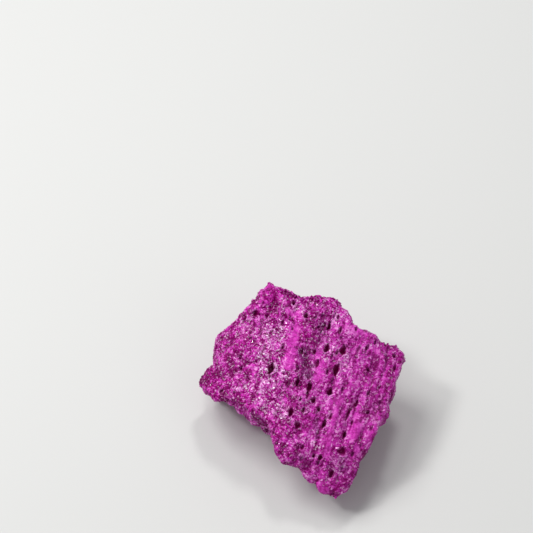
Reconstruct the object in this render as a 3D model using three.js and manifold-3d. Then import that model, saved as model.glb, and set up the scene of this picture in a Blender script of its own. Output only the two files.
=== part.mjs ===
// Raw corundum: one loose broken lump, sugary and full of gas holes, lying on a flat break.
// Millimetres, +Z up. The origin is under the middle of the stone's box, on the surface it rests on.
import * as THREE from 'three';
import { mergeVertices } from 'three/addons/utils/BufferGeometryUtils.js';
import Module from 'manifold-3d';

// Outline of the upper face seen from above: four broken edges between four corners.
const LEFT_CORNER = [-22.3, 1.4];
const NOSE = [6.9, -24.3];
const RIGHT_CORNER = [21.7, 5];
const HORN = [-6.8, 19.7];
const RIM_EDGES = [
  [LEFT_CORNER, [-20.6, -2.3], [-15.7, -6.4], [-11.3, -9.8], [-8.2, -11.4], [-7.1, -13.4], [-5, -17.3],
    [0.2, -20.3], [4.8, -23.5], NOSE],
  [NOSE, [9.4, -22.8], [13.1, -16.9], [15.8, -13.5], [15.5, -12.1], [18, -9.3], [19.1, -5.2],
    [20.3, -0.8], RIGHT_CORNER],
  [RIGHT_CORNER, [20.4, 7.2], [19.2, 6.9], [18.6, 7.8], [11, 10.6], [9.7, 12.8], [8, 15.6],
    [6.5, 16.3], [0.4, 16.6], [-4.9, 18.4], HORN],
  [HORN, [-8.9, 18], [-10.2, 15.7], [-14.8, 13.3], [-17.1, 11.2], [-19.8, 5.2], LEFT_CORNER],
];

// Outline of the foot, smaller than the rim because the sides lean in as they go down.
const FOOT_EDGES = [
  [[-15.5, 2.5], [-11.5, -2], [-4.5, -7.5], [-0.5, -13], [5, -18.5]],
  [[5, -18.5], [10, -10.5], [13.5, -4], [16, 4]],
  [[16, 4], [10.5, 7], [5.5, 12.5], [-6, 15]],
  [[-6, 15], [-12.5, 10.5], [-15.5, 2.5]],
];
const FOOT_MIDDLE = [0, -2];

// The upper face is the lowest of four slopes, blended where they meet.
const SLOPES = [
  { face: 'main', height: 17, alongX: 0, alongY: 0.27 },
  { face: 'right', height: 23.5, alongX: -0.42, alongY: 0.15 },
  { face: 'left', height: 26.5, alongX: 0.75, alongY: 0.1 },
  { face: 'nose', height: 24, alongX: 0, alongY: 0.7 },
];
const SLOPE_BLEND = 0.8;
const RIM_RADIUS = 1.5;
const FACE_WIDTH = 32;

// The sides lean in from the rim to the foot, and swell at half height, mostly at the back.
const BELLY_FRONT = 0;
const BELLY_BACK = 2;
const FOOT_LIFT = 1;
const FOOT_CHAMFER = 0.14;
const FLAT_BELOW = 3;

// Gas holes, grooves and lumps run one way through the stone.
const FABRIC = new THREE.Vector3(0.34, 0.94, 0.25).normalize();

// Relief: broad swells, and rounded lumps with creases between them.
const SWELLS = { wavelength: 12, depth: 0.4, count: 9 };
const LUMPS = { size: 3, stretch: 1.8, depth: 1.15 };
const SIDE_ROUGHER = 1.7;

// Ridges and grooves of the upper face: from x, y, to x, y, half width, height.
const FACE_FORMS = [
  [-3.6, 13.5, -0.9, -1, 1.5, 0.6],
  [4.6, 9.6, 1.2, 0.4, 1.8, -0.6],
  [9.2, 12, 12, 8.6, 1.5, 0.45],
  [8.1, -5.4, 5.3, -15.5, 1.7, 0.55],
  [12.6, -5.4, 8.7, -14.5, 1.1, -0.75],
  [11.2, -11.6, 10.8, -15.2, 1.5, 0.5],
  [15, -12.8, 14.6, -13.6, 1.2, 0.6],
  [17.4, 7, 19.4, 1.5, 1, -0.6],
  [-9.6, 12.4, -6.2, 13.6, 1.8, -0.5],
  [-12, 6.5, -9.2, 4, 1.8, 0.5],
  [-14.5, 2, -11.5, -3, 1.8, -0.4],
  [3.4, -19.6, 7.4, -20.6, 1.4, -0.5],
];

// Ledges and grooves of the sides: from turn, fall, to turn, fall, half width, height.
// Turn counts the four edges from the left corner round, fall goes from 0, rim, to 1, foot.
const SIDE_FORMS = [
  [0.15, 0.3, 0.9, 0.45, 1.6, -0.9],
  [0.3, 0.62, 0.8, 0.7, 1.6, 0.5],
  [1.15, 0.45, 1.6, 0.3, 1.6, 0.9],
  [1.3, 0.7, 1.8, 0.6, 1.8, -1],
  [2.1, 0.35, 2.45, 0.5, 1.9, 1.2],
  [2.3, 0.7, 2.9, 0.62, 2.2, -1.3],
  [2.62, 0.2, 2.75, 0.5, 1.8, 1],
  [3.1, 0.3, 3.4, 0.75, 2, -1.1],
  [3.5, 0.25, 3.62, 0.8, 1.7, 1.1],
  [3.75, 0.5, 3.95, 0.35, 1.7, -0.8],
];

// Gas holes of the upper face: x, y, width, length along the fabric, depth.
const FACE_HOLES = [
  [8.8, 4, 2.1, 3, 2.4], [7.5, 3.5, 0.9, 1.6, 1.2], [7.3, 0, 1.5, 3.4, 2.2],
  [1.6, -3.8, 1.6, 2.8, 2.2], [-6.4, 0, 1.6, 2.1, 2], [5.4, 4.5, 1.3, 2.1, 1.5],
  [5.9, -4.7, 1.3, 2, 1.6], [2.5, -6.5, 1.4, 1.6, 1.7], [3.5, -8.4, 0.9, 1.1, 1.1],
  [-2.3, -9.1, 1.4, 2, 1.5], [-0.9, -11.7, 1.6, 1.9, 1.7], [3.8, -18, 1, 1.4, 1.3],
  [2.4, -17.7, 0.8, 1, 0.9], [8.3, -16.9, 2, 2.1, 1.6], [6.1, -21, 1.5, 2.1, 1.6],
  [10.5, -11.1, 0.9, 1.6, 1], [9.6, -9.4, 1.1, 4.2, 1.3], [11.5, -7, 0.9, 2.7, 1.1],
  [5.9, 9.4, 0.9, 2.3, 1.4], [1.1, 11.5, 1.1, 1.5, 1.2], [7.9, 11.2, 0.8, 1.2, 1],
  [-1.5, 14.4, 0.9, 1.2, 1], [-3.9, 4.8, 0.8, 2, 1], [-13.2, 3.1, 1.1, 1.4, 1.2],
  [-12.9, 0.7, 1, 1.1, 0.9], [-10.7, 6.8, 1, 1.3, 0.8], [-9.9, 12.5, 1.5, 1.7, 0.8],
  [-0.8, -2.7, 0.9, 2.1, 1.1], [14, 0.1, 0.9, 1, 0.9], [8.8, -13.5, 0.9, 1.7, 1],
  [4.6, -11.6, 0.9, 2.1, 1], [6, -10.1, 0.9, 1.7, 1], [0, 3.7, 1.1, 1.5, 0.9],
];
const LARGE_HOLE = 1.45;

// Gas holes that the flat break under the stone has opened, in the same order.
const BASE_HOLES = [
  [-7, 5.5, 1.7, 2.6, 1.6], [7.5, -8, 1.4, 2.2, 1.4], [9.5, 3, 1.2, 1.6, 1.2],
  [-2.5, 10, 1, 1.7, 1], [4.5, -14.5, 1.1, 1.5, 1], [-11, 2, 1, 1.3, 0.9],
];

// Gas holes scattered round the sides.
const SIDE_HOLES = 34;
const SIDE_HOLE_WIDTHS = [0.9, 2.1];
const SIDE_HOLE_STRETCH = [1.1, 1.9];
const SPREAD = [0.8192, 0.671, 0.5497];

// Finish of the stone, and how finely its surface is divided.
const STONE = { color: 0xb83a9c, roughness: 0.42, metalness: 0 };
const FACE_CELLS = 30;
const SIDE_ROWS = 11;
const BASE_RINGS = [1, 0.5, 0.14, 0.05, 0];
const CELL_CROWDING = 0.05;

const clamp = THREE.MathUtils.clamp;
const smoothstep = THREE.MathUtils.smoothstep;
const lerp = THREE.MathUtils.lerp;
const fraction = (value) => value - Math.floor(value);

// Point at a share of the length of an open line of points.
function alongLine(points, share) {
  const lengths = points.slice(1).map((p, i) => Math.hypot(p[0] - points[i][0], p[1] - points[i][1]));
  let left = clamp(share, 0, 1) * lengths.reduce((sum, length) => sum + length, 0);
  let piece = 0;
  while (piece < lengths.length - 1 && left > lengths[piece]) {
    left -= lengths[piece];
    piece += 1;
  }
  const step = left / lengths[piece];
  const [start, end] = [points[piece], points[piece + 1]];
  return [lerp(start[0], end[0], step), lerp(start[1], end[1], step)];
}

// Point of a closed outline of four edges, where turn runs from 0 to 4.
function aroundOutline(edges, turn) {
  const edge = Math.min(Math.floor(turn), 3);
  return alongLine(edges[edge], turn - edge);
}

// Height of the upper face: the soft minimum of its slopes.
function faceHeight(x, y) {
  const sum = SLOPES.reduce((total, slope) => {
    const height = slope.height + slope.alongX * x + slope.alongY * y;
    return total + Math.exp(-height / SLOPE_BLEND);
  }, 0);
  return -SLOPE_BLEND * Math.log(sum);
}

// How far the face has dropped at a distance inside the rim: a quarter circle.
function rimDrop(inside) {
  const near = clamp(1 - inside / RIM_RADIUS, 0, 1);
  return RIM_RADIUS * (1 - Math.sqrt(1 - near * near));
}

// Point of the upper face: a patch stretched between the four rim edges.
function facePoint(u, v) {
  const across = [alongLine(RIM_EDGES[0], u), alongLine(RIM_EDGES[2], 1 - u)];
  const along = [alongLine(RIM_EDGES[3], 1 - v), alongLine(RIM_EDGES[1], v)];
  const corners = [[LEFT_CORNER, HORN], [NOSE, RIGHT_CORNER]];
  const [x, y] = [0, 1].map((axis) => {
    const ruled = lerp(across[0][axis], across[1][axis], v) + lerp(along[0][axis], along[1][axis], u);
    const low = lerp(corners[0][0][axis], corners[0][1][axis], v);
    const high = lerp(corners[1][0][axis], corners[1][1][axis], v);
    return ruled - lerp(low, high, u);
  });
  const inside = FACE_WIDTH * Math.min(u, 1 - u, v, 1 - v);
  return new THREE.Vector3(x, y, faceHeight(x, y) - rimDrop(inside));
}

// Point of the sides: from the rim, over the belly, in to the foot.
function sidePoint(turn, fall) {
  const rim = aroundOutline(RIM_EDGES, turn);
  const foot = aroundOutline(FOOT_EDGES, turn);
  const reach = Math.hypot(rim[0], rim[1]);
  const belly = lerp(BELLY_FRONT, BELLY_BACK, 0.5 + (0.5 * rim[1]) / reach);
  const swell = (belly * Math.sin(Math.PI * fall)) / reach;
  const rimHeight = faceHeight(rim[0], rim[1]) - RIM_RADIUS;
  return new THREE.Vector3(
    lerp(rim[0], foot[0], fall) + rim[0] * swell,
    lerp(rim[1], foot[1], fall) + rim[1] * swell,
    lerp(rimHeight, FOOT_LIFT, fall),
  );
}

// Point of the base: a chamfer under the foot's edge, then flat to the middle.
function basePoint(turn, inward) {
  const foot = aroundOutline(FOOT_EDGES, turn);
  const rise = clamp(1 - inward / FOOT_CHAMFER, 0, 1);
  return new THREE.Vector3(
    lerp(foot[0], FOOT_MIDDLE[0], inward),
    lerp(foot[1], FOOT_MIDDLE[1], inward),
    FOOT_LIFT * rise * rise,
  );
}

// Broad swells: sines that cross the stone in evenly spread directions.
function swells(point) {
  const goldenAngle = Math.PI * (3 - Math.sqrt(5));
  let sum = 0;
  for (let i = 0; i < SWELLS.count; i += 1) {
    const up = 1 - (2 * i + 1) / SWELLS.count;
    const level = Math.sqrt(1 - up * up);
    const direction = new THREE.Vector3(
      level * Math.cos(goldenAngle * i),
      level * Math.sin(goldenAngle * i),
      up,
    );
    const length = SWELLS.wavelength * (0.8 + 0.5 * fraction(SPREAD[0] * i));
    sum += Math.sin((2 * Math.PI * point.dot(direction)) / length + i * i);
  }
  return (SWELLS.depth * sum) / Math.sqrt(SWELLS.count);
}

// A repeatable scattered number from 0 to 1 for one cell of a lattice.
function scatter(x, y, z, turn) {
  return fraction(Math.sin(12.9898 * x + 78.233 * y + 37.719 * z + 4.581 * turn) * 43758.5453);
}

// Rounded lumps: a dome round each of many middles, one in every cell of a stretched lattice.
function lumps(point) {
  const squeeze = (1 / LUMPS.stretch - 1) * point.dot(FABRIC);
  const place = point.clone().addScaledVector(FABRIC, squeeze).divideScalar(LUMPS.size);
  const home = place.clone().floor();
  let nearest = Infinity;
  for (let i = 0; i < 27; i += 1) {
    const x = home.x + (i % 3) - 1;
    const y = home.y + (Math.floor(i / 3) % 3) - 1;
    const z = home.z + Math.floor(i / 9) - 1;
    const middle = new THREE.Vector3(
      x + scatter(x, y, z, 0),
      y + scatter(x, y, z, 1),
      z + scatter(x, y, z, 2),
    );
    nearest = Math.min(nearest, middle.distanceToSquared(place));
  }
  return LUMPS.depth * (0.3 - nearest);
}

// Ridges and grooves as lines in space, with their half width and height.
const formLines = [
  ...FACE_FORMS.map(([x0, y0, x1, y1, halfWidth, height]) => ({
    line: new THREE.Line3(
      new THREE.Vector3(x0, y0, faceHeight(x0, y0)),
      new THREE.Vector3(x1, y1, faceHeight(x1, y1)),
    ),
    halfWidth,
    height,
  })),
  ...SIDE_FORMS.map(([turn0, fall0, turn1, fall1, halfWidth, height]) => ({
    line: new THREE.Line3(sidePoint(turn0, fall0), sidePoint(turn1, fall1)),
    halfWidth,
    height,
  })),
];

// How far the surface stands out of the smooth form at a point: most on the broken sides, and
// nothing at the flat base.
function relief(point, outward) {
  const nearest = new THREE.Vector3();
  const forms = formLines.reduce((sum, { line, halfWidth, height }) => {
    const distance = line.closestPointToPoint(point, true, nearest).distanceTo(point);
    return sum + height * Math.exp(-((distance / halfWidth) ** 2));
  }, 0);
  const rougher = lerp(SIDE_ROUGHER, 1, clamp(outward.z, 0, 1));
  const height = rougher * (swells(point) + lumps(point)) + forms;
  return height * smoothstep(point.z, 0, FLAT_BELOW);
}

// Closed surface of the stone before its gas holes.
function stoneSurface() {
  const positions = [];
  const indices = [];
  const addPatch = (columns, rows, place) => {
    const first = positions.length / 3;
    for (let row = 0; row <= rows; row += 1) {
      for (let column = 0; column <= columns; column += 1) {
        positions.push(...place(column / columns, row / rows).toArray());
      }
    }
    for (let row = 0; row < rows; row += 1) {
      for (let column = 0; column < columns; column += 1) {
        const a = first + row * (columns + 1) + column;
        const c = a + columns + 1;
        indices.push(a, a + 1, c + 1, a, c + 1, c);
      }
    }
  };
  const crowd = (share) => share - CELL_CROWDING * Math.sin(2 * Math.PI * share);
  const crowdTurn = (turn) => Math.floor(turn) + crowd(fraction(turn));
  const turnAt = (share) => crowdTurn(4 * fraction(share));
  addPatch(FACE_CELLS, FACE_CELLS, (u, v) => facePoint(crowd(u), crowd(v)));
  addPatch(4 * FACE_CELLS, SIDE_ROWS, (around, up) => sidePoint(turnAt(around), 1 - up));
  const baseRows = BASE_RINGS.length - 1;
  addPatch(4 * FACE_CELLS, baseRows, (around, out) => {
    const inward = BASE_RINGS[Math.round(out * baseRows)];
    return basePoint(turnAt(around), inward);
  });

  const patches = new THREE.BufferGeometry();
  patches.setAttribute('position', new THREE.Float32BufferAttribute(positions, 3));
  patches.setIndex(indices);
  const surface = mergeVertices(patches, 0.001);
  const corners = Array.from(surface.index.array);
  const triangles = [];
  for (let i = 0; i < corners.length; i += 3) {
    const [a, b, c] = corners.slice(i, i + 3);
    if (a !== b && b !== c && c !== a) triangles.push(a, b, c);
  }
  surface.setIndex(triangles);
  surface.computeVertexNormals();

  const place = surface.attributes.position;
  const normal = surface.attributes.normal;
  const point = new THREE.Vector3();
  const outward = new THREE.Vector3();
  for (let i = 0; i < place.count; i += 1) {
    point.fromBufferAttribute(place, i);
    outward.fromBufferAttribute(normal, i);
    point.addScaledVector(outward, relief(point, outward));
    place.setXYZ(i, point.x, point.y, Math.max(point.z, 0));
  }
  return surface;
}

// Centre, outward direction and size of every gas hole.
function holePlaces() {
  const step = 0.05;
  const normalOf = (place, a, b) => {
    const alongA = place(a + step, b).sub(place(a - step, b));
    const alongB = place(a, b + step).sub(place(a, b - step));
    return alongA.cross(alongB).normalize();
  };
  const onFace = (x, y) => new THREE.Vector3(x, y, faceHeight(x, y));
  const onSide = (turn, up) => sidePoint(turn, 1 - up);
  const face = FACE_HOLES.map(([x, y, width, length, depth]) => ({
    centre: onFace(x, y),
    outward: normalOf(onFace, x, y),
    width,
    length,
    depth,
  }));
  const base = BASE_HOLES.map(([x, y, width, length, depth]) => ({
    centre: new THREE.Vector3(x, y, 0),
    outward: new THREE.Vector3(0, 0, -1),
    width,
    length,
    depth,
  }));
  const side = Array.from({ length: SIDE_HOLES }, (_, i) => {
    const turn = 0.1 + 3.8 * fraction(SPREAD[0] * (i + 1));
    const up = 0.2 + 0.65 * fraction(SPREAD[1] * (i + 1));
    const size = fraction(SPREAD[2] * (i + 1));
    const width = lerp(...SIDE_HOLE_WIDTHS, size * size);
    const stretch = lerp(...SIDE_HOLE_STRETCH, fraction(3 * size));
    return {
      centre: onSide(turn, up),
      outward: normalOf(onSide, turn, up),
      width,
      length: width * stretch,
      depth: width,
    };
  });
  return [...face, ...base, ...side].map((hole) => {
    hole.centre.addScaledVector(hole.outward, relief(hole.centre, hole.outward));
    return hole;
  });
}

// One gas hole as a flat-sided egg, its long way turned along the fabric.
function holeShape({ centre, outward, width, length, depth }) {
  const shape = new THREE.IcosahedronGeometry(1, width > LARGE_HOLE ? 1 : 0);
  const along = FABRIC.clone().addScaledVector(outward, -FABRIC.dot(outward)).normalize();
  const across = along.clone().cross(outward);
  const place = new THREE.Matrix4().makeBasis(across, along, outward);
  place.scale(new THREE.Vector3(width / 2, length / 2, depth));
  place.setPosition(centre);
  return shape.applyMatrix4(place);
}

const wasm = await Module();
wasm.setup();

// Closed mesh to solid, joining the corners that its faces share.
function toSolid(geometry) {
  geometry.deleteAttribute('normal');
  geometry.deleteAttribute('uv');
  const merged = mergeVertices(geometry, 0.0001);
  return new wasm.Manifold(new wasm.Mesh({
    numProp: 3,
    vertProperties: new Float32Array(merged.attributes.position.array),
    triVerts: new Uint32Array(merged.index.array),
  }));
}

// Solid back to a geometry.
function toGeometry(solid) {
  const mesh = solid.getMesh();
  const geometry = new THREE.BufferGeometry();
  geometry.setAttribute('position', new THREE.BufferAttribute(mesh.vertProperties, 3));
  geometry.setIndex(new THREE.BufferAttribute(mesh.triVerts, 1));
  return geometry;
}

let stone = toSolid(stoneSurface());
for (const hole of holePlaces()) stone = stone.subtract(toSolid(holeShape(hole)));

// The origin goes under the middle of the stone's box.
const geometry = toGeometry(stone);
geometry.computeBoundingBox();
const middle = geometry.boundingBox.getCenter(new THREE.Vector3());
geometry.translate(-middle.x, -middle.y, 0);
geometry.computeVertexNormals();

const corundum = new THREE.Mesh(geometry, new THREE.MeshStandardMaterial(STONE));
corundum.name = 'corundum_stone';
const group = new THREE.Group();
group.add(corundum);

export default group;
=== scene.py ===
# %% [markdown]
# # A raw pink corundum
# The stone is one broken lump, about 44 mm across. It is a mass of fine sugary crystals, full of
# gas holes that all run one way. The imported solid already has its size, outline, ledges and large
# holes. This lesson grows a finer skin on the same form, scatters crystal grains over it, and gives
# both a finish.
#
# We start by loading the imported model, which every later cell measures against.

# %% Load the frame
import math

import bpy
import numpy as np
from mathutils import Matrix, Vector


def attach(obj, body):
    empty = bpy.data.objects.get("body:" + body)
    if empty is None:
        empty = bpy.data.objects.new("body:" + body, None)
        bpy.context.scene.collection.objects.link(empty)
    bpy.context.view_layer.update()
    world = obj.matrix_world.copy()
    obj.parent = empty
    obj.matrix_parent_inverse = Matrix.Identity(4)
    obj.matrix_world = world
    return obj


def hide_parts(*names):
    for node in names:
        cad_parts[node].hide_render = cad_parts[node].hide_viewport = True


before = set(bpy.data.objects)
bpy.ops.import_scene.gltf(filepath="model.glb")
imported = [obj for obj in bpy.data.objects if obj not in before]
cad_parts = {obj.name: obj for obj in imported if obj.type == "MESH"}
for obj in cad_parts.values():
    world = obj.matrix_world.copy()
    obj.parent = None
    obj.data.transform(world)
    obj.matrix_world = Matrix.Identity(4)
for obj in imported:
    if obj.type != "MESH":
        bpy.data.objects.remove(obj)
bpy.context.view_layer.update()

NODE = "corundum_stone"
MM = 0.001

# %% [markdown]
# ## The form of the stone
# The upper face has four broken edges between four corners, and the sides lean in to a smaller
# foot. We could copy the solid's mesh and subdivide it, but its triangles are large and uneven, so
# holes and grains would show them. Instead the outlines are written down again, up to about 1 mm
# nearer to the real edge than the solid's plainer ones, and a fine even grid is laid over them. All
# sizes are in millimetres until the mesh is made.

# %% Outlines, slopes and sizes
LEFT_CORNER, NOSE, RIGHT_CORNER, HORN = (-22.6, 2), (6.9, -24.8), (21.6, 5), (-6.8, 19.6)
RIM_EDGES = [
    [LEFT_CORNER, (-20.7, -1.4), (-18.3, -3.2), (-15.5, -5.6), (-11.3, -9.4), (-8, -10.8),
     (-7, -13.1), (-4.3, -16.9), (0.2, -20.2), (2.3, -22), (4.8, -23.6), NOSE],
    [NOSE, (9.3, -22.9), (13.3, -17), (15.9, -13.5), (15.8, -12), (18.3, -9.4), (19.4, -5.2),
     (20.6, -0.8), (21, 3), RIGHT_CORNER],
    [RIGHT_CORNER, (20.3, 7.4), (19.2, 7.1), (18.5, 7.6), (14.4, 8.5), (11, 10.2), (9.7, 12.6), (8, 15.4),
     (6.5, 15.9), (0.4, 16.4), (-4.9, 18.3), HORN],
    [HORN, (-8.4, 17.8), (-9.4, 15.3), (-14.7, 13.2), (-17.4, 11.5), (-18.3, 4.9), (-19.3, 4.6),
     (-21.3, 3.8), LEFT_CORNER],
]
FOOT_EDGES = [
    [(-15.5, 3.2), (-11.4, -0.8), (-4.4, -6.3), (-0.3, -12), (5, -18.2)],
    [(5, -18.2), (10, -10.5), (13.5, -4), (16, 4)],
    [(16, 4), (10.5, 7), (5.5, 12.5), (-6, 15)],
    [(-6, 15), (-12.5, 10.5), (-15.5, 3.2)],
]
FOOT_MIDDLE = np.array([0.0, -2.0])
# Each slope of the upper face: height at x = y = 0, then its rise along x and along y.
SLOPES = [(17, 0, 0.27), (23.5, -0.42, 0.15), (26.5, 0.75, 0.1), (24, 0, 0.7)]
SLOPE_BLEND = 0.8
RIM_RADIUS = 1.1
FACE_WIDTH = 32
BELLY_FRONT, BELLY_BACK = 0, 2
FOOT_LIFT, FOOT_CHAMFER = 1, 0.14
FLAT_BELOW = 3
# Middle of the solid's box in the coordinates that the outlines are measured in.
BOX_MIDDLE = np.array([0.559, -2.058, 0])
FABRIC = np.array([0.34, 0.94, 0.25])
FABRIC /= np.linalg.norm(FABRIC)


def lerp(low, high, share):
    """A value part of the way from low to high."""
    return low + (high - low) * share


def smoothstep(value, low, high):
    """0 below low, 1 above high, and the curve 3t^2 - 2t^3 between."""
    t = np.clip((value - low) / (high - low), 0, 1)
    return t * t * (3 - 2 * t)


def along_line(points, share):
    """Points at shares of the length of an open line: straight pieces, measured end to end."""
    points = np.array(points, float)
    reach = np.concatenate([[0], np.cumsum(np.linalg.norm(np.diff(points, axis=0), axis=1))])
    way = np.clip(share, 0, 1) * reach[-1]
    return np.stack([np.interp(way, reach, points[:, axis]) for axis in (0, 1)], -1)


def around_outline(edges, turn):
    """Points of a closed outline of four edges; turn runs from 0 to 4, one for each edge."""
    edge = np.minimum(np.floor(turn), 3)
    return sum((edge == i)[:, None] * along_line(points, turn - i) for i, points in enumerate(edges))


def face_height(x, y):
    """Height of the upper face: the soft minimum of its slopes, -b log of the sum of e^(-h/b)."""
    total = sum(np.exp(-(h + sx * x + sy * y) / SLOPE_BLEND) for h, sx, sy in SLOPES)
    return -SLOPE_BLEND * np.log(total)


def face_point(u, v):
    """Coons patch: ruled between opposite rim edges both ways, less the ruled patch of corners."""
    low, high = along_line(RIM_EDGES[0], u), along_line(RIM_EDGES[2], 1 - u)
    left, right = along_line(RIM_EDGES[3], 1 - v), along_line(RIM_EDGES[1], v)
    u2, v2 = u[:, None], v[:, None]
    left_corners = lerp(np.array(LEFT_CORNER), np.array(HORN), v2)
    right_corners = lerp(np.array(NOSE), np.array(RIGHT_CORNER), v2)
    xy = lerp(low, high, v2) + lerp(left, right, u2) - lerp(left_corners, right_corners, u2)
    inside = FACE_WIDTH * np.minimum(np.minimum(u, 1 - u), np.minimum(v, 1 - v))
    near = np.clip(1 - inside / RIM_RADIUS, 0, 1)
    drop = RIM_RADIUS * (1 - np.sqrt(1 - near * near))
    return np.column_stack([xy, face_height(*xy.T) - drop])


def side_point(turn, fall):
    """Sides: straight from rim to foot, swollen by a half sine that is largest at the back."""
    rim, foot = around_outline(RIM_EDGES, turn), around_outline(FOOT_EDGES, turn)
    reach = np.linalg.norm(rim, axis=1)
    belly = lerp(BELLY_FRONT, BELLY_BACK, 0.5 + 0.5 * rim[:, 1] / reach)
    swell = belly * np.sin(math.pi * fall) / reach
    xy = lerp(rim, foot, fall[:, None]) + rim * swell[:, None]
    z = lerp(face_height(*rim.T) - RIM_RADIUS, FOOT_LIFT, fall)
    return np.column_stack([xy, z])


def base_point(turn, inward):
    """Base: a chamfer that falls as a parabola from the foot's edge, then flat to the middle."""
    xy = lerp(around_outline(FOOT_EDGES, turn), FOOT_MIDDLE, inward[:, None])
    rise = np.clip(1 - inward / FOOT_CHAMFER, 0, 1)
    return np.column_stack([xy, FOOT_LIFT * rise * rise])


# %% [markdown]
# ## One closed grid
# The upper face is a square grid. The sides and the base are one long strip that starts on the
# rim's own points, goes down and then in under the stone, and closes on one point in the middle of
# the base. Sharing the rim's points keeps the surface closed with no seam to weld.

# %% Grid of the skin
FACE_CELLS = 186
SIDE_ROWS = 64
BASE_RINGS = np.array([0.02, 0.05, 0.09, 0.14, 0.25, 0.4, 0.55, 0.7, 0.85])


def skin_grid(cells, side_rows, base_rings):
    """Points, quads and one fan of triangles of the whole stone, before any relief."""
    step = np.arange(cells + 1) / cells
    v, u = [way.ravel() for way in np.meshgrid(step, step, indexing="ij")]
    face = face_point(u, v)
    index = np.arange((cells + 1) ** 2).reshape(cells + 1, cells + 1)
    face_quads = np.stack([index[:-1, :-1], index[:-1, 1:], index[1:, 1:], index[1:, :-1]], -1)

    turn = np.arange(4 * cells) / cells
    rows = np.arange(1, side_rows + 1) / side_rows
    side = side_point(np.tile(turn, side_rows), np.repeat(rows, 4 * cells))
    base = base_point(np.tile(turn, len(base_rings)), np.repeat(base_rings, 4 * cells))
    pole = base_point(np.zeros(1), np.ones(1))

    rim = np.concatenate([index[0, :-1], index[:-1, -1], index[-1, :0:-1], index[:0:-1, 0]])
    strip_rows = side_rows + len(base_rings)
    strip = len(face) + np.arange(strip_rows * 4 * cells).reshape(strip_rows, 4 * cells)
    strip = np.vstack([rim, strip])
    ahead = np.roll(strip, -1, axis=1)
    strip_quads = np.stack([strip[:-1], strip[1:], ahead[1:], ahead[:-1]], -1)
    last = len(face) + len(side) + len(base)
    fan = np.stack([strip[-1], np.full(4 * cells, last), ahead[-1]], -1)
    points = np.vstack([face, side, base, pole])
    return points, np.vstack([face_quads.reshape(-1, 4), strip_quads.reshape(-1, 4)]), fan


def point_normals(points, quads, fan):
    """Unit normals: the cross products of each face's diagonals, summed at the face's points."""
    cross = np.cross(points[quads[:, 2]] - points[quads[:, 0]], points[quads[:, 3]] - points[quads[:, 1]])
    cross_fan = np.cross(points[fan[:, 1]] - points[fan[:, 0]], points[fan[:, 2]] - points[fan[:, 0]])
    total = np.zeros_like(points)
    for axis in range(3):
        for faces, normals in ((quads, cross), (fan, cross_fan)):
            weights = np.repeat(normals[:, axis], faces.shape[1])
            total[:, axis] += np.bincount(faces.ravel(), weights, len(points))
    return total / np.linalg.norm(total, axis=1)[:, None]


smooth, quads, fan = skin_grid(FACE_CELLS, SIDE_ROWS, BASE_RINGS)
outward = point_normals(smooth, quads, fan)
print("skin points:", len(smooth), "triangles:", 2 * len(quads) + len(fan))

# %% [markdown]
# ## Relief
# A broken crystal mass is lumpy at every size. Broad swells come from sines that cross the stone in
# evenly spread directions. Lumps come from a cellular pattern: one middle in each cell of a lattice,
# and a dome round each middle, so that creases form where two domes meet. Squeezing space along the
# fabric before looking up the cell makes the lumps long that way, as the real ones are.

# %% Swells, lumps, ridges and grooves
GOLDEN_ANGLE = math.pi * (3 - math.sqrt(5))
SPREAD = (0.8192, 0.671, 0.5497)
SWELL_LENGTH, SWELL_DEPTH, SWELL_WAVES = 12, 0.4, 9
LUMP_SIZE, LUMP_STRETCH, LUMP_DEPTH = 3, 1.8, 1.15
SIDE_ROUGHER, FACE_ROUGHER = 1.7, 0.4
# Upper face: from x, y, to x, y, half width, height.
FACE_FORMS = [
    (-3.6, 13.5, -0.9, -1, 1.5, 0.6), (4.6, 9.6, 1.2, 0.4, 1.8, -0.6), (9.2, 12, 12, 8.6, 1.5, 0.45),
    (8.1, -5.4, 5.3, -15.5, 1.7, 0.55), (12.6, -5.4, 8.7, -14.5, 1.1, -0.75),
    (11.2, -11.6, 10.8, -15.2, 1.5, 0.5), (15, -12.8, 14.6, -13.6, 1.2, 0.6),
    (17.4, 7, 19.4, 1.5, 1, -0.4), (-9.6, 12.4, -6.2, 13.6, 1.8, -0.5), (-12, 6.5, -9.2, 4, 1.8, 0.5),
    (-14.5, 2, -11.5, -3, 1.8, -0.4), (3.4, -19.6, 7.4, -20.6, 1.4, -0.5),
]
# Sides: from turn, fall, to turn, fall, half width, height.
SIDE_FORMS = [
    (0.15, 0.3, 0.9, 0.45, 1.6, -0.9), (0.3, 0.62, 0.8, 0.7, 1.6, 0.5), (1.15, 0.45, 1.6, 0.3, 1.6, 0.9),
    (1.3, 0.7, 1.8, 0.6, 1.8, -1), (2.1, 0.35, 2.45, 0.5, 1.9, 1.2), (2.3, 0.7, 2.9, 0.62, 2.2, -1.3),
    (2.62, 0.2, 2.75, 0.5, 1.8, 1), (3.1, 0.3, 3.4, 0.75, 2, -1.1), (3.5, 0.25, 3.62, 0.8, 1.7, 1.1),
    (3.75, 0.5, 3.95, 0.35, 1.7, -0.8),
]


def fraction(value):
    """What is left of a value above the whole number below it."""
    return value - np.floor(value)


def swells(points):
    """Sum of sines of the distance along directions spread over a ball by the golden angle.

    The waves are 0.8 to 1.3 times SWELL_LENGTH long.
    """
    i = np.arange(SWELL_WAVES)
    up = 1 - (2 * i + 1) / SWELL_WAVES
    level = np.sqrt(1 - up * up)
    directions = np.stack([level * np.cos(GOLDEN_ANGLE * i), level * np.sin(GOLDEN_ANGLE * i), up])
    length = SWELL_LENGTH * (0.8 + 0.5 * fraction(SPREAD[0] * i))
    waves = np.sin(2 * math.pi * (points @ directions) / length + i * i)
    return SWELL_DEPTH * waves.sum(1) / math.sqrt(SWELL_WAVES)


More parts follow.
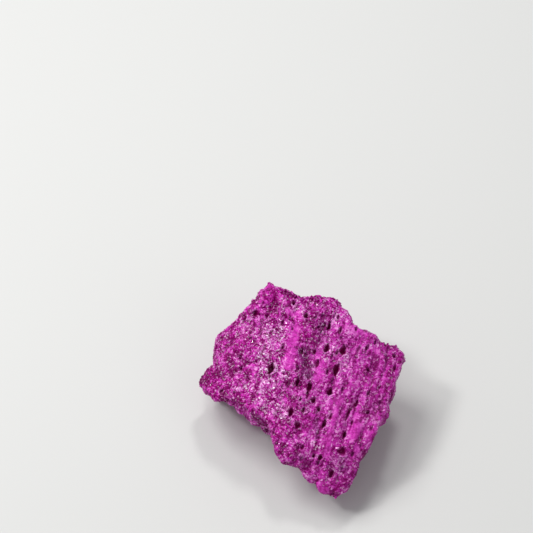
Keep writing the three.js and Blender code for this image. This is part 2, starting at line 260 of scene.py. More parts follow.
def scatter(cells, turn):
    """A repeatable scattered number from 0 to 1 for each cell of a lattice."""
    x, y, z = cells.T
    return fraction(np.sin(12.9898 * x + 78.233 * y + 37.719 * z + 4.581 * turn) * 43758.5453)


def lumps(points, size, stretch, depth):
    """Depth times 0.3 less the squared distance to the nearest middle, in cells."""
    squeeze = (1 / stretch - 1) * (points @ FABRIC)
    place = (points + squeeze[:, None] * FABRIC) / size
    home = np.floor(place)
    nearest = np.full(len(points), np.inf)
    for i in range(27):
        cell = home + (i % 3 - 1, i // 3 % 3 - 1, i // 9 - 1)
        middle = cell + np.stack([scatter(cell, turn) for turn in range(3)], -1)
        nearest = np.minimum(nearest, ((middle - place) ** 2).sum(1))
    return depth * (0.3 - nearest)


def form_lines():
    """Start, end, half width and height of every ridge and groove, as lines in space."""
    face, side = np.array(FACE_FORMS, float), np.array(SIDE_FORMS, float)
    ends = [np.vstack([np.column_stack([face[:, i:i + 2], face_height(face[:, i], face[:, i + 1])]),
                       side_point(side[:, i], side[:, i + 1])]) for i in (0, 2)]
    widths, heights = np.concatenate([face, side])[:, 4:].T
    return zip(ends[0], ends[1], widths, heights)


def forms(points):
    """Each form adds its height times e^-(distance to its line over its half width)^2."""
    total = np.zeros(len(points))
    for start, end, half_width, height in form_lines():
        line = end - start
        share = np.clip((points - start) @ line / (line @ line), 0, 1)
        squared = ((points - start - share[:, None] * line) ** 2).sum(1)
        total += height * np.exp(-squared / half_width ** 2)
    return total


def relief(points, normals):
    """Height of the stone's surface over its smooth form; nothing at the flat base."""
    rougher = lerp(SIDE_ROUGHER, FACE_ROUGHER, np.clip(normals[:, 2], 0, 1))
    height = rougher * (swells(points) + lumps(points, LUMP_SIZE, LUMP_STRETCH, LUMP_DEPTH))
    return (height + forms(points)) * smoothstep(points[:, 2], 0, FLAT_BELOW)


# %% [markdown]
# ## Glassy, grey, sugary and deep places
# The stone isn't the same all over. Here and there the crystals have grown into one smooth, glassy
# band, and in a few hollows the colour is greyer. Some places are full of pale sugary crystals, and
# others have hardly any and stay deep in colour; near the left corner the deep strokes are painted
# shade. Noise alone could choose such places, but on the upper face the eye knows them by where
# they are. So there they are laid down as strokes, and drifting patches of noise take over on the
# sides. Creases are strokes of the same kind, only thin, and they are cut into the surface, where
# the finish also paints shade in them.

# %% Strokes, patches and creases
# Upper face: from x, y, to x, y, half width, strength.
GLASSY_STROKES = [
    (-1.3, 9, -1.7, 5.7, 1.5, 1), (-1.7, 5.7, -2.6, 0.6, 1.4, 1), (-2.9, 12.6, -0.4, 11.6, 1.1, 0.9),
    (3.9, 3.6, 3.4, -1.9, 1.1, 0.9), (7.9, -6.4, 6.8, -10.2, 1, 0.9), (6.8, -10.2, 4.9, -17.2, 0.9, 0.9),
    (12, -7.8, 11.1, -9.7, 0.9, 0.8), (11.4, -12.2, 10.7, -13.8, 1.5, 1), (14.3, -13.4, 14, -14.2, 1, 0.8),
    (15.4, 5, 17.3, 3.6, 1.2, 0.8), (9.1, 9.4, 13.9, 7.8, 1.3, 0.9), (11.6, -16.1, 10.3, -18.2, 1.2, 0.8),
    (-6.4, -10.1, -4.6, -12.6, 1.3, 0.6), (-7, 17.9, -8.6, 15, 1.4, 0.6),
]
GREY_STROKES = [
    (4.1, 10.6, 3.7, 4.5, 1.4, 0.6), (0.5, 3.8, 1.4, -1.3, 1.5, 1), (2.9, -11, 3.2, -13.8, 0.7, 0.8),
    (-0.5, -17.7, -0.1, -18, 0.9, 0.8), (7.8, -18.5, 8.4, -20.1, 1, 0.7),
]
# Sugary places are full of pale crystals, and deep ones have hardly any.
SUGARY_STROKES = [
    (-8.3, 7.9, -4.5, 8.3, 1.9, 1), (-7, 6.2, -7.9, 1.5, 1.9, 1), (-8.3, -0.7, -5.4, -3.4, 2.1, 1),
    (-4.9, 0.8, -4.5, -1.9, 1.5, 1), (-3.2, 12.4, 0.4, 13.5, 1.1, 0.9), (7.2, 11.4, 7.6, 10.1, 1.3, 0.9),
    (9.5, 9.3, 10.5, 8.4, 1.1, 0.8), (9.4, 2.6, 7.6, -1.1, 0.9, 0.9), (-8.3, -7, -7.9, -7.8, 1.1, 1),
    (-5.4, -6.2, -4.1, -9.1, 1.5, 0.7), (-12.8, 11.5, -11.1, 8.3, 1.5, 0.7),
    (-13.7, -3.7, -8.3, -4, 1.5, 0.6),
    (-0.4, -7.6, 5.9, -8.7, 1.3, 0.4), (1.9, -14.4, 3.3, -16.1, 1.3, 0.6), (6.6, -17.6, 5.8, -20.2, 1.1, 0.6),
    (14.9, 5.3, 17.5, 4, 1.1, 0.6), (4.3, 2.7, 6.7, 3.6, 1.1, 0.6),
]
# Near the left corner these strokes are painted shade; elsewhere they are deeper colour.
DEEP_AND_SHADOW_STROKES = [
    (-20.2, 2.7, -16.7, -4.5, 1.9, 1), (-18.6, 6.7, -16.9, 10, 1.3, 0.7), (-6.6, 14.4, -9.4, 12.9, 1.3, 0.8),
    (-7.2, 9.6, -4.7, 10.3, 1.1, 0.7), (-1, -16.6, 3.3, -19.8, 1.7, 0.4), (6.4, -23.8, 9.1, -22.6, 1.3, 0.7),
    (18.1, 3.2, 19.1, -4.9, 1.3, 0.5), (-0.3, 4, 1.4, 1.9, 1.1, 0.6), (3.1, 8.8, 3.7, 5.1, 1.3, 0.3),
    (2.1, -10.3, -0.8, -12.8, 1.5, 0.5), (-15.4, -7.7, -8.3, -11.8, 1.5, 0.5),
    (-16.3, 6.4, -13.3, 1.2, 1.7, 0.5),
]
# Sharp creases of the upper face: from x, y, to x, y, half width, depth.
CREASES = [
    (11.9, -5.9, 11.2, -7.1, 0.35, 0.5), (11.2, -7.1, 9.9, -8.6, 0.4, 0.7), (9.9, -8.6, 9, -10.5, 0.35, 0.6),
    (8.8, -13.2, 8.5, -15.7, 0.35, 0.5), (6.3, -9, 4.5, -11.6, 0.35, 0.5),
    (4.5, -11.6, 3.2, -13.7, 0.35, 0.4),
    (12.8, -12.7, 11.9, -15, 0.35, 0.4), (18.6, 5.2, 17.8, 0.3, 0.35, 0.4), (1, -20.2, 2.4, -21.4, 0.35, 0.4),
    (-7.9, 13.7, -6, 13.5, 0.4, 0.4), (-8.6, 9.2, -8.3, 8.6, 0.5, 0.4), (15.2, -7.2, 15.9, -10.2, 0.35, 0.35),
]
# Two sizes of noise make the patches, each with its share. Then, for each kind of place, from where
# to where in that noise it fades in.
PATCH_SIZE = 5
FINER_PATCH_SIZE = PATCH_SIZE / 2.3
PATCH_SHARE, FINER_PATCH_SHARE = 0.7, 0.3
GLASSY_PATCHES = (0.6, 0.78)
GREY_PATCHES = (0.66, 0.84)
SUGARY_PATCHES = (0.5, 0.85)
DEEP_PATCHES = (0.5, 0.75)
# How far up a surface has to face, as the z of its normal, for strokes and for creases.
STROKES_FACE_UP = (0.45, 0.75)
CREASES_FACE_UP = (0.2, 0.5)


def value_noise(points, size, turn):
    """Scattered numbers at the corners of a lattice, blended smoothly between them."""
    place = points / size
    home = np.floor(place)
    part = place - home
    part = part * part * (3 - 2 * part)
    total = np.zeros(len(points))
    for i in range(8):
        corner = np.array([i & 1, i >> 1 & 1, i >> 2])
        total += np.where(corner, part, 1 - part).prod(1) * scatter(home + corner, turn)
    return total


def stroke_strength(points, strokes):
    """Strongest stroke at a point: strength times e^-(distance in plan over half width)^2."""
    strongest = np.zeros(len(points))
    for x0, y0, x1, y1, half_width, strength in strokes:
        start, line = np.array([x0, y0]), np.array([x1 - x0, y1 - y0])
        share = np.clip((points[:, :2] - start) @ line / (line @ line), 0, 1)
        squared = ((points[:, :2] - start - share[:, None] * line) ** 2).sum(1)
        strongest = np.maximum(strongest, strength * np.exp(-squared / half_width ** 2))
    return strongest


def zone(points, normals, strokes, patches, turn):
    """Strokes where the surface faces up, and patches of noise where it faces aside or down."""
    level = smoothstep(normals[:, 2], *STROKES_FACE_UP)
    coarse, finer = (value_noise(points, size, turn) for size in (PATCH_SIZE, FINER_PATCH_SIZE))
    drift = coarse * PATCH_SHARE + finer * FINER_PATCH_SHARE
    return lerp(smoothstep(drift, *patches), stroke_strength(points, strokes), level)


glassy = zone(smooth, outward, GLASSY_STROKES, GLASSY_PATCHES, 4)
grey = zone(smooth, outward, GREY_STROKES, GREY_PATCHES, 7)
sugary = zone(smooth, outward, SUGARY_STROKES, SUGARY_PATCHES, 10)
deep = zone(smooth, outward, DEEP_AND_SHADOW_STROKES, DEEP_PATCHES, 13)
crease_depth = stroke_strength(smooth, CREASES) * smoothstep(outward[:, 2], *CREASES_FACE_UP)
print("share of glassy points:", round(float((glassy > 0.5).mean()), 3))

# %% [markdown]
# ## Fine relief
# The solid stops at lumps of 3 mm. The skin adds smaller ones, down to the size of a few crystals.
# On the right of the stone the real lumps are drawn out into fine ribs, so a second pattern with a
# long stretch takes over there. On the glassy bands most of this relief is taken away again.

# %% Ribs and small lumps
RIB_FROM, RIB_TO, RIB_SLANT = -1, 7, 0.3
# Size, stretch along the fabric and depth.
ROUND_LUMPS = (1.35, 1.3, 0.4)
LONG_RIBS = (1.35, 6, 0.62)
TINY_LUMPS = (0.68, 1.4, 0.2)
TINY_LUMPS_LOST_ON_RIBS = 0.6
GLASSY_CALM = 0.7
SKIN_SUNK = 0.15
BASE_FADE = 1


def ribbed(points):
    """0 on the left of the stone, where it is sugary, and 1 on the right, where it is ribbed."""
    return smoothstep(points[:, 0] - RIB_SLANT * points[:, 1], RIB_FROM, RIB_TO)


def fine_relief(points, ribs):
    """Lumps of two sizes, of which the larger turn into long ribs from left to right."""
    larger = lerp(lumps(points, *ROUND_LUMPS), lumps(points, *LONG_RIBS), ribs)
    return larger + lumps(points, *TINY_LUMPS) * (1 - TINY_LUMPS_LOST_ON_RIBS * ribs)


lowest_fade = smoothstep(smooth[:, 2], 0, BASE_FADE)
ribs = ribbed(smooth)
standing = fine_relief(smooth, ribs) * (1 - GLASSY_CALM * glassy)
standing -= standing.mean() + SKIN_SUNK
height = relief(smooth, outward) + standing * lowest_fade - crease_depth
skin = smooth + outward * height[:, None]
print("relief in mm: from", round(height.min(), 2), "to", round(height.max(), 2))

# %% [markdown]
# ## Gas holes
# Gas once bubbled through the melt and left holes that are drawn out along the fabric. They could
# be cut with booleans, but pushing the grid's own points in is quicker and leaves it closed. Each
# large hole is half an egg whose mouth is pointed like a leaf, with a low lip round it. The solid
# has these holes in the same places, a few of them slightly wider. Hundreds of pin holes follow,
# placed at random on the skin's own points. How deep a point lies in a hole is kept, because the
# finish paints shade there, and painted light on the lips.

# %% Large holes
# Upper face: x, y, width, length along the fabric, depth.
FACE_HOLES = [
    (8.8, 4, 1.6, 2.6, 1.6), (7.5, 3.5, 0.7, 1.5, 0.9), (7.3, 0, 1.3, 3, 1.5), (1.6, -3.8, 1.3, 2.5, 1.5),
    (-6.4, 0.1, 1.5, 2.8, 2), (5.4, 4.5, 1.3, 2.1, 1.5), (5.9, -4.7, 1.3, 2, 1.6), (2.5, -6.5, 1.2, 1.5, 1.3),
    (3.5, -8.4, 0.9, 1.1, 1.1), (-2.3, -9.1, 1.4, 2, 1.5), (-0.9, -11.7, 1.5, 1.8, 1.3),
    (3.8, -18, 1, 1.4, 1.3), (2.4, -17.7, 0.8, 1, 0.9), (8.3, -16.9, 1.8, 2.1, 1.1), (6.1, -21, 1.1, 2, 1.2),
    (10.5, -11.1, 0.7, 1.4, 0.8), (9.6, -9.4, 0.6, 3.4, 0.7), (11.5, -7, 0.6, 2.3, 0.7),
    (5.9, 9.4, 0.9, 2.3, 1.4), (1.1, 11.5, 1.1, 1.5, 1.2), (7.9, 11.2, 0.8, 1.2, 1),
    (-1.5, 14.4, 0.9, 1.2, 1), (-3.9, 4.8, 0.8, 2, 1), (-13.2, 3.1, 1.1, 1.4, 1.2), (-12.9, 0.7, 1, 1.1, 0.9),
    (-10.7, 6.8, 1, 1.3, 0.8), (-9.9, 12.5, 1.5, 1.7, 0.8), (-0.8, -2.7, 0.9, 2.1, 1.1),
    (14, 0.1, 0.9, 1, 0.9),
    (8.8, -13.5, 0.9, 1.7, 1), (4.6, -11.6, 0.9, 2.1, 1), (6, -10.1, 0.9, 1.7, 1), (0, 3.7, 1.1, 1.5, 0.9),
]
# Base, in the same order.
BASE_HOLES = [
    (-7, 5.5, 1.7, 2.6, 1.6), (7.5, -8, 1.4, 2.2, 1.4), (9.5, 3, 1.2, 1.6, 1.2), (-2.5, 10, 1, 1.7, 1),
    (4.5, -14.5, 1.1, 1.5, 1), (-11, 2, 1, 1.3, 0.9),
]
SIDE_HOLES = 34
# First turn and how far the turns spread, then the same for the height over the foot.
SIDE_HOLE_TURNS = (0.1, 3.8)
SIDE_HOLE_HEIGHTS = (0.2, 0.65)
SIDE_HOLE_WIDTHS = (0.9, 2.1)
SIDE_HOLE_STRETCH = (1.1, 1.9)
LEAF_POINT = 1.2
RAGGED = 0.2
LIP_HEIGHT, LIP_RADIUS, LIP_SPREAD = 0.12, 1.15, 0.2


def unit(vectors):
    """Vectors made one long."""
    return vectors / np.linalg.norm(vectors, axis=-1, keepdims=True)


def surface_normal(place, a, b, step=0.05):
    """Normal of a surface of two parameters: the cross product of its two small steps."""
    along_a = place(a + step, b) - place(a - step, b)
    along_b = place(a, b + step) - place(a, b - step)
    return unit(np.cross(along_a, along_b))


def large_holes():
    """Centres, outward directions and sizes of the large holes, with the relief under them."""
    face, base = np.array(FACE_HOLES, float), np.array(BASE_HOLES, float)
    i = np.arange(1, SIDE_HOLES + 1)
    turn = SIDE_HOLE_TURNS[0] + SIDE_HOLE_TURNS[1] * fraction(SPREAD[0] * i)
    up = SIDE_HOLE_HEIGHTS[0] + SIDE_HOLE_HEIGHTS[1] * fraction(SPREAD[1] * i)
    size = fraction(SPREAD[2] * i)
    width = lerp(*SIDE_HOLE_WIDTHS, size * size)
    side_sizes = np.column_stack([width, width * lerp(*SIDE_HOLE_STRETCH, fraction(3 * size)), width])

    def on_face(x, y):
        return np.column_stack([x, y, face_height(x, y)])

    def on_side(turn, up):
        return side_point(turn, 1 - up)

    centres = np.vstack([on_face(*face.T[:2]), np.pad(base[:, :2], ((0, 0), (0, 1))), on_side(turn, up)])
    axes = np.vstack([
        surface_normal(on_face, *face.T[:2]),
        np.tile([0.0, 0.0, -1.0], (len(base), 1)),
        surface_normal(on_side, turn, up),
    ])
    centres += axes * relief(centres, axes)[:, None]
    return centres, axes, np.vstack([face[:, 2:], base[:, 2:], side_sizes])


def sink_holes(points, centres, axes, sizes, ragged=0.0):
    """Push every hole in: depth times the root of 1 - r^2; r comes from width and length.

    The width shrinks towards both ends of the length, so that the mouth is a leaf, and ragged adds
    sines of 3 and 5 times the angle to r. Round the mouth a low lip stands up: LIP_HEIGHT times the
    width times e^-((r - LIP_RADIUS) / LIP_SPREAD)^2.
    """
    depths, lips = np.zeros(len(points)), np.zeros(len(points))
    pushed = np.zeros_like(points)
    for i, (centre, axis, (width, length, depth)) in enumerate(zip(centres, axes, sizes)):
        along = unit(FABRIC - axis * (FABRIC @ axis))
        across = np.cross(along, axis)
        offset = points - centre
        near = np.flatnonzero((offset ** 2).sum(1) < max(1.2 * length, depth) ** 2)
        x, y = offset[near] @ across / (width / 2), offset[near] @ along / (length / 2)
        angle = np.arctan2(y, x)
        wobble = 1 + ragged * (np.sin(3 * angle + i) + 0.6 * np.sin(5 * angle + 2 * i))
        narrow = 1 + LEAF_POINT * y * y
        radius = np.sqrt((x * x * narrow + y * y) * wobble)
        lip = np.exp(-((radius - LIP_RADIUS) / LIP_SPREAD) ** 2) * (np.abs(offset[near] @ axis) < length)
        push = depth * np.sqrt(np.clip(1 - radius * radius, 0, 1))
        higher = (lip > lips[near]) & (push == 0) & (depths[near] == 0)
        lips[near[higher]] = lip[higher]
        pushed[near[higher]] = axis * (LIP_HEIGHT * width * lip[higher])[:, None]
        deeper = push > depths[near]
        depths[near[deeper]] = push[deeper]
        pushed[near[deeper]] = -axis * push[deeper, None]
    return points + pushed, depths, lips * (depths == 0)


skin, hole_depth, lip = sink_holes(skin, *large_holes(), ragged=RAGGED)
print("points inside large holes:", int((hole_depth > 0).sum()))

# %% Pin holes
PIN_HOLES = 380
# Widths in mm, and a power that makes most of them narrow. Length and depth are in widths.
PIN_WIDTHS, PIN_NARROWER = (0.4, 1), 2.5
PIN_LENGTHS = (1.1, 2.6)
PIN_DEPTHS = (0.5, 1.2)
PIN_LIP = 0.6
PIN_LOWEST = 0.8
PINS_IN_GREY = 6
DARK_DEPTHS = (0.15, 1.3)
rng = np.random.default_rng(17)
normals = point_normals(skin, quads, fan)
free = np.flatnonzero((hole_depth == 0) & (skin[:, 2] > PIN_LOWEST))
likely = 1 + PINS_IN_GREY * grey[free]
picked = rng.choice(free, PIN_HOLES, replace=False, p=likely / likely.sum())
pin_width = lerp(*PIN_WIDTHS, rng.random(PIN_HOLES) ** PIN_NARROWER)
pin_sizes = np.column_stack([
    pin_width,
    pin_width * rng.uniform(*PIN_LENGTHS, PIN_HOLES),
    pin_width * rng.uniform(*PIN_DEPTHS, PIN_HOLES),
])
skin, pin_depth, pin_lip = sink_holes(skin, skin[picked], normals[picked], pin_sizes)
# How deep a point lies in a hole or crease, where the finish paints shade.
hollow = smoothstep(np.maximum(hole_depth + crease_depth, pin_depth), *DARK_DEPTHS)
lip = np.maximum(lip, pin_lip * PIN_LIP)
skin[:, 2] = np.maximum(skin[:, 2], 0)
normals = point_normals(skin, quads, fan)
print("pin holes:", PIN_HOLES)

# %% [markdown]
# ## From arrays to a mesh
# foreach_set copies whole arrays into a mesh, which is quick even for a hundred thousand points.
# Some numbers are kept at each point for the finish, such as how deep it lies in a hole, how far it
# stands out of its neighbourhood and how sugary its place is; the first two let the finish paint
# shade in holes and light on crests. The map named OFBake gives the face and the four sides their
# own parts of a square, so that the finish can be baked.

# %% Mesh writer and map of the skin


def write_mesh(name, points, faces, numbers=None, maps=None, flat=False):
    """A mesh object in metres from points in mm and a list of face arrays, one per face size.

    numbers holds named values, one for each point or else one for each face.
    """
    mesh = bpy.data.meshes.new(name)
    mesh.vertices.add(len(points))
    mesh.vertices.foreach_set("co", ((points - BOX_MIDDLE) * MM).astype(np.float32).ravel())
    corners = np.concatenate([part.ravel() for part in faces])
    sizes = np.concatenate([np.full(len(part), part.shape[1]) for part in faces])
    mesh.loops.add(len(corners))
    mesh.loops.foreach_set("vertex_index", corners.astype(np.int32))
    mesh.polygons.add(len(sizes))
    mesh.polygons.foreach_set("loop_start", (np.cumsum(sizes) - sizes).astype(np.int32))
    for number_name, values in (numbers or {}).items():
        domain = "POINT" if len(values) == len(points) else "FACE"
        mesh.attributes.new(number_name, "FLOAT", domain).data.foreach_set("value", values.astype(np.float32))
    if maps is not None:
        mesh.uv_layers.new(name="OFBake").uv.foreach_set("vector", maps.astype(np.float32).ravel())
    mesh.update(calc_edges=True)
    mesh.validate()
    if flat:
        mesh.shade_flat()
    piece = bpy.data.objects.new(name, mesh)
    bpy.context.scene.collection.objects.link(piece)
    return piece


FACE_PATCH = (0.005, 0.005, 0.6)
SIDE_PATCHES = [(0.005, 0.63), (0.335, 0.63), (0.665, 0.63), (0.63, 0.28)]
SIDE_PATCH_SIZE = 0.32


def skin_map(cells, side_rows, ring_count):
    """Corner places in the unit square: one patch for the face and one for each side."""
    left, low, size = FACE_PATCH
    step = np.arange(cells) / cells
    v, u = [way.ravel() for way in np.meshgrid(step, step, indexing="ij")]
    around = np.array([(0, 0), (1, 0), (1, 1), (0, 1)]) / cells
    face = (np.stack([u, v], -1)[:, None] + around) * size + (left, low)

    rows = side_rows + ring_count
    row, column = [way.ravel() for way in np.meshgrid(np.arange(rows), np.arange(4 * cells), indexing="ij")]
    patch = np.array(SIDE_PATCHES)[column // cells]
    corner = np.array([(0, 0), (0, 1), (1, 1), (1, 0)])
    place = np.stack([column % cells, row], -1)[:, None] + corner
    strip = place / (cells, rows + 1) * SIDE_PATCH_SIZE + patch[:, None]

    column = np.arange(4 * cells)
    patch = np.array(SIDE_PATCHES)[column // cells]
    place = np.stack([column % cells, np.full(4 * cells, rows)], -1)[:, None] + [(0, 0), (0.5, 1), (1, 0)]
    fan_map = place / (cells, rows + 1) * SIDE_PATCH_SIZE + patch[:, None]
    return np.concatenate([part.reshape(-1, 2) for part in (face, strip, fan_map)])


# %% The skin
fields = {
    "hollow": hollow, "standing": standing, "glassy": glassy, "grey": grey, "sugary": sugary,
    "deep": deep, "lip": lip, "ribs": ribs,
}
skin_piece = write_mesh(
    "corundum_skin", skin, [quads, fan], fields, skin_map(FACE_CELLS, SIDE_ROWS, len(BASE_RINGS)),
)
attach(skin_piece, "root")
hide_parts(NODE)
print("skin:", len(skin_piece.data.polygons), "faces")

# %% [markdown]
# ## Crystal grains
# From a step away the stone looks like packed sugar, because its surface is made of crystals a few
# tenths of a millimetre across, and each turns its flat faces its own way. A bump map could fake
# the shading, but not the ragged outline or the shadows between grains. So tens of thousands of
# small faceted crystals are laid about half sunk in the skin, all as arrays. Two shapes are enough,
# a double pyramid and a three-sided prism, each with six corners and eight triangles, because every
# crystal is also turned, stretched and made uneven at random.
#
# A few are fresh: larger, paler and glossier crystals that were broken open last. They are a piece
# of their own, so that they can have a finish of their own. Each triangle also keeps one random
# number, its facet, which the finish uses to paint a glint on some faces and shade on others.

# %% Crystal shapes
PYRAMIDS = np.array([(1, 0, 0), (0, 1, 0), (-1, 0, 0), (0, -1, 0), (0, 0, 1.1), (0, 0, -1.1)]) * 0.6
PYRAMID_FACES = np.array([
    (0, 1, 4), (1, 2, 4), (2, 3, 4), (3, 0, 4), (1, 0, 5), (2, 1, 5), (3, 2, 5), (0, 3, 5),
])
PRISM = np.array([
    (1, 0, -0.8), (-0.5, 0.87, -0.8), (-0.5, -0.87, -0.8), (1, 0, 0.8), (-0.5, 0.87, 0.8), (-0.5, -0.87, 0.8),
]) * 0.52
PRISM_FACES = np.array([
    (0, 2, 1), (3, 4, 5), (0, 1, 4), (0, 4, 3), (1, 2, 5), (1, 5, 4), (2, 0, 3), (2, 3, 5),
])
CORNERS_EACH = 6


def random_turns(count, rng):
    """Turn matrices from random unit quaternions."""
    w, x, y, z = unit(rng.normal(size=(count, 4))).T
    return np.stack([
        1 - 2 * (y * y + z * z), 2 * (x * y - z * w), 2 * (x * z + y * w),
        2 * (x * y + z * w), 1 - 2 * (x * x + z * z), 2 * (y * z - x * w),
        2 * (x * z - y * w), 2 * (y * z + x * w), 1 - 2 * (x * x + y * y),
    ], -1).reshape(-1, 3, 3)


# %% Scatter the grains
GRAINS = 80000
# Sizes in mm, and a power that makes most of the grains small. Then the stretch along three axes.
GRAIN_SIZES, GRAIN_SMALLER = (0.25, 0.6), 1.7
GRAIN_STRETCH = ((0.8, 0.85, 0.9), (1.1, 1.15, 1.4))
SIZE_IN_HOLLOWS, SIZE_ON_GLASS = 0.6, 0.75
FRESH_SHARE, FRESH_SIZES = (0.05, 0.2), (0.38, 0.68)
FRESH_TINTS = (0.6, 1)
SUNK = (0.3, 0.55)
UNEVEN = 0.25
SPARSE_IN_HOLLOWS = 0.85
SPARSE_ON_GLASS = 0.8
SPARSE_ON_RIBS = 0.7
HOLLOW_RANGE = (0.1, 0.5)
LOWEST_GRAIN, CLEAR_OF_FLOOR = 0.5, 0.02


def scatter_on_skin(count, rng):
    """Random places on the skin's quads, chosen by area, rarer in holes, on glass and on ribs."""
    diagonals = np.cross(skin[quads[:, 2]] - skin[quads[:, 0]], skin[quads[:, 3]] - skin[quads[:, 1]])
    chance = np.linalg.norm(diagonals, axis=1)
    chance *= 1 - SPARSE_IN_HOLLOWS * smoothstep(hollow[quads].mean(1), *HOLLOW_RANGE)
    chance *= 1 - SPARSE_ON_GLASS * glassy[quads].mean(1)
    chance *= 1 - SPARSE_ON_RIBS * ribs[quads].mean(1)
    chance *= skin[quads].mean(1)[:, 2] > LOWEST_GRAIN
    quad = quads[rng.choice(len(quads), count, p=chance / chance.sum())]
    s, t = rng.random((2, count, 1))
    weights = np.concatenate([(1 - s) * (1 - t), s * (1 - t), s * t, (1 - s) * t], 1)
    places = (skin[quad] * weights[..., None]).sum(1)
    facing = unit((normals[quad] * weights[..., None]).sum(1))
    return places, facing, {name: (values[quad] * weights).sum(1) for name, values in fields.items()}


rng = np.random.default_rng(5)
places, facing, grain_fields = scatter_on_skin(GRAINS, rng)
size = lerp(*GRAIN_SIZES, rng.random(GRAINS) ** GRAIN_SMALLER)
is_fresh = rng.random(GRAINS) < lerp(*FRESH_SHARE, grain_fields["sugary"])
size[is_fresh] = rng.uniform(*FRESH_SIZES, is_fresh.sum())
size *= lerp(1, SIZE_IN_HOLLOWS, grain_fields["hollow"]) * lerp(1, SIZE_ON_GLASS, grain_fields["glassy"])
stretch = rng.uniform(*GRAIN_STRETCH, (GRAINS, 3))
is_prism = rng.random(GRAINS) < 0.5
shapes = np.where(is_prism[:, None, None], PRISM, PYRAMIDS)
shapes = shapes * (1 + rng.uniform(-UNEVEN, UNEVEN, (GRAINS, CORNERS_EACH, 3)))
corners = shapes * (size[:, None] * stretch)[:, None]
sunk = places - facing * (size * rng.uniform(*SUNK, GRAINS))[:, None]
grain_points = np.einsum("nij,nkj->nki", random_turns(GRAINS, rng), corners) + sunk[:, None]
grain_fields["tint"] = np.where(is_fresh, lerp(*FRESH_TINTS, rng.random(GRAINS)), rng.random(GRAINS))
kept = grain_points[..., 2].min(1) > CLEAR_OF_FLOOR
print("grains kept:", int(kept.sum()), "mean size in mm:", round(float(size.mean()), 2))

# %% Join the grains into pieces
UPPER_FROM, LEFT_UNTIL = 0.45, 1
plain = kept & ~is_fresh
upper, front, left = facing[:, 2] > UPPER_FROM, places[:, 1] < 0, places[:, 0] < LEFT_UNTIL
GROUPS = {
    "crystals_upper_left": upper & plain & left,
    "crystals_upper_right": upper & plain & ~left,
    "crystals_front": ~upper & plain & front,
    "crystals_back_left": ~upper & plain & ~front & left,
    "crystals_back_right": ~upper & plain & ~front & ~left,
    "crystals_fresh": kept & is_fresh,
}


def grain_map(count):
    """Each triangle gets one small cell of the unit square."""
    across = math.ceil(math.sqrt(count))
    cell = np.stack([np.arange(count) % across, np.arange(count) // across], -1)[:, None]
    corner = np.array([(0.1, 0.1), (0.9, 0.1), (0.5, 0.9)])
    return ((cell + corner) / across).reshape(-1, 2)


grain_pieces = []
for name, chosen in GROUPS.items():
    count = int(chosen.sum())
    faces = np.where(is_prism[chosen][:, None, None], PRISM_FACES, PYRAMID_FACES)
    faces = faces + CORNERS_EACH * np.arange(count)[:, None, None]
    faces = faces.reshape(-1, 3)
    numbers = {field: np.repeat(values[chosen], CORNERS_EACH) for field, values in grain_fields.items()}
    numbers["facet"] = rng.random(len(faces))
    piece = write_mesh(
        name, grain_points[chosen].reshape(-1, 3), [faces], numbers, grain_map(len(faces)), flat=True,
    )
    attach(piece, "root")
    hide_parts(NODE)
    grain_pieces.append(piece)
    print(name, "grains:", count, "triangles:", len(piece.data.polygons))

# %% [markdown]
# ## Shader sums as Python
# A material is a graph of nodes. Written out node by node it is long and hard to read, so one small
# class wraps a socket: arithmetic on it adds Math nodes, and its node method adds any other node
# from its type, its settings and its sockets.

# %% The wire class


class Wire:
    """A shader socket that Python arithmetic turns into Math nodes."""

    def __init__(self, tree, socket=None):
        self.tree, self.socket = tree, socket

    def node(self, kind, settings=None, sockets=None, output=0):
        """Add a node: its settings first, then each socket's value or link; give one output."""
        made = self.tree.nodes.new(kind)
        for name, value in (settings or {}).items():
            setattr(made, name, value)
        for name, value in (sockets or {}).items():
            if isinstance(value, Wire):
                self.tree.links.new(value.socket, made.inputs[name])
            else:
                made.inputs[name].default_value = value
        return Wire(self.tree, made.outputs[output])

    def math(self, operation, *values):
        """Math on wires and numbers."""
        return self.node("ShaderNodeMath", {"operation": operation}, dict(enumerate(values)))

    def __add__(self, other):
        return self.math("ADD", self, other)

    def __radd__(self, other):
        return self.math("ADD", other, self)

    def __sub__(self, other):
        return self.math("SUBTRACT", self, other)

    def __rsub__(self, other):
        return self.math("SUBTRACT", other, self)

    def __mul__(self, other):
        return self.math("MULTIPLY", self, other)

    def __rmul__(self, other):
        return self.math("MULTIPLY", other, self)

    def step(self, low, high):
        """0 below low and 1 above high, smooth between."""
        return self.node("ShaderNodeMapRange", {"interpolation_type": "SMOOTHSTEP"},
                         {"Value": self, "From Min": low, "From Max": high})

    def mix(self, low, high):
        """Colour mixed from low to high by this wire."""
        return self.node("ShaderNodeMix", {"data_type": "RGBA"}, {0: self, 6: low, 7: high}, 2)

    def vector(self, operation, *values):
        """Vector Math on vectors or wires."""
        output = 1 if operation == "DOT_PRODUCT" else 0
        return self.node("ShaderNodeVectorMath", {"operation": operation}, dict(enumerate(values)), output)


def srgb(red, green, blue):
    """Linear colour with alpha from screen values of 0 to 255."""
    values = np.array([red, green, blue]) / 255
    linear = np.where(values <= 0.04045, values / 12.92, ((values + 0.055) / 1.055) ** 2.4)
    return (*linear.tolist(), 1)
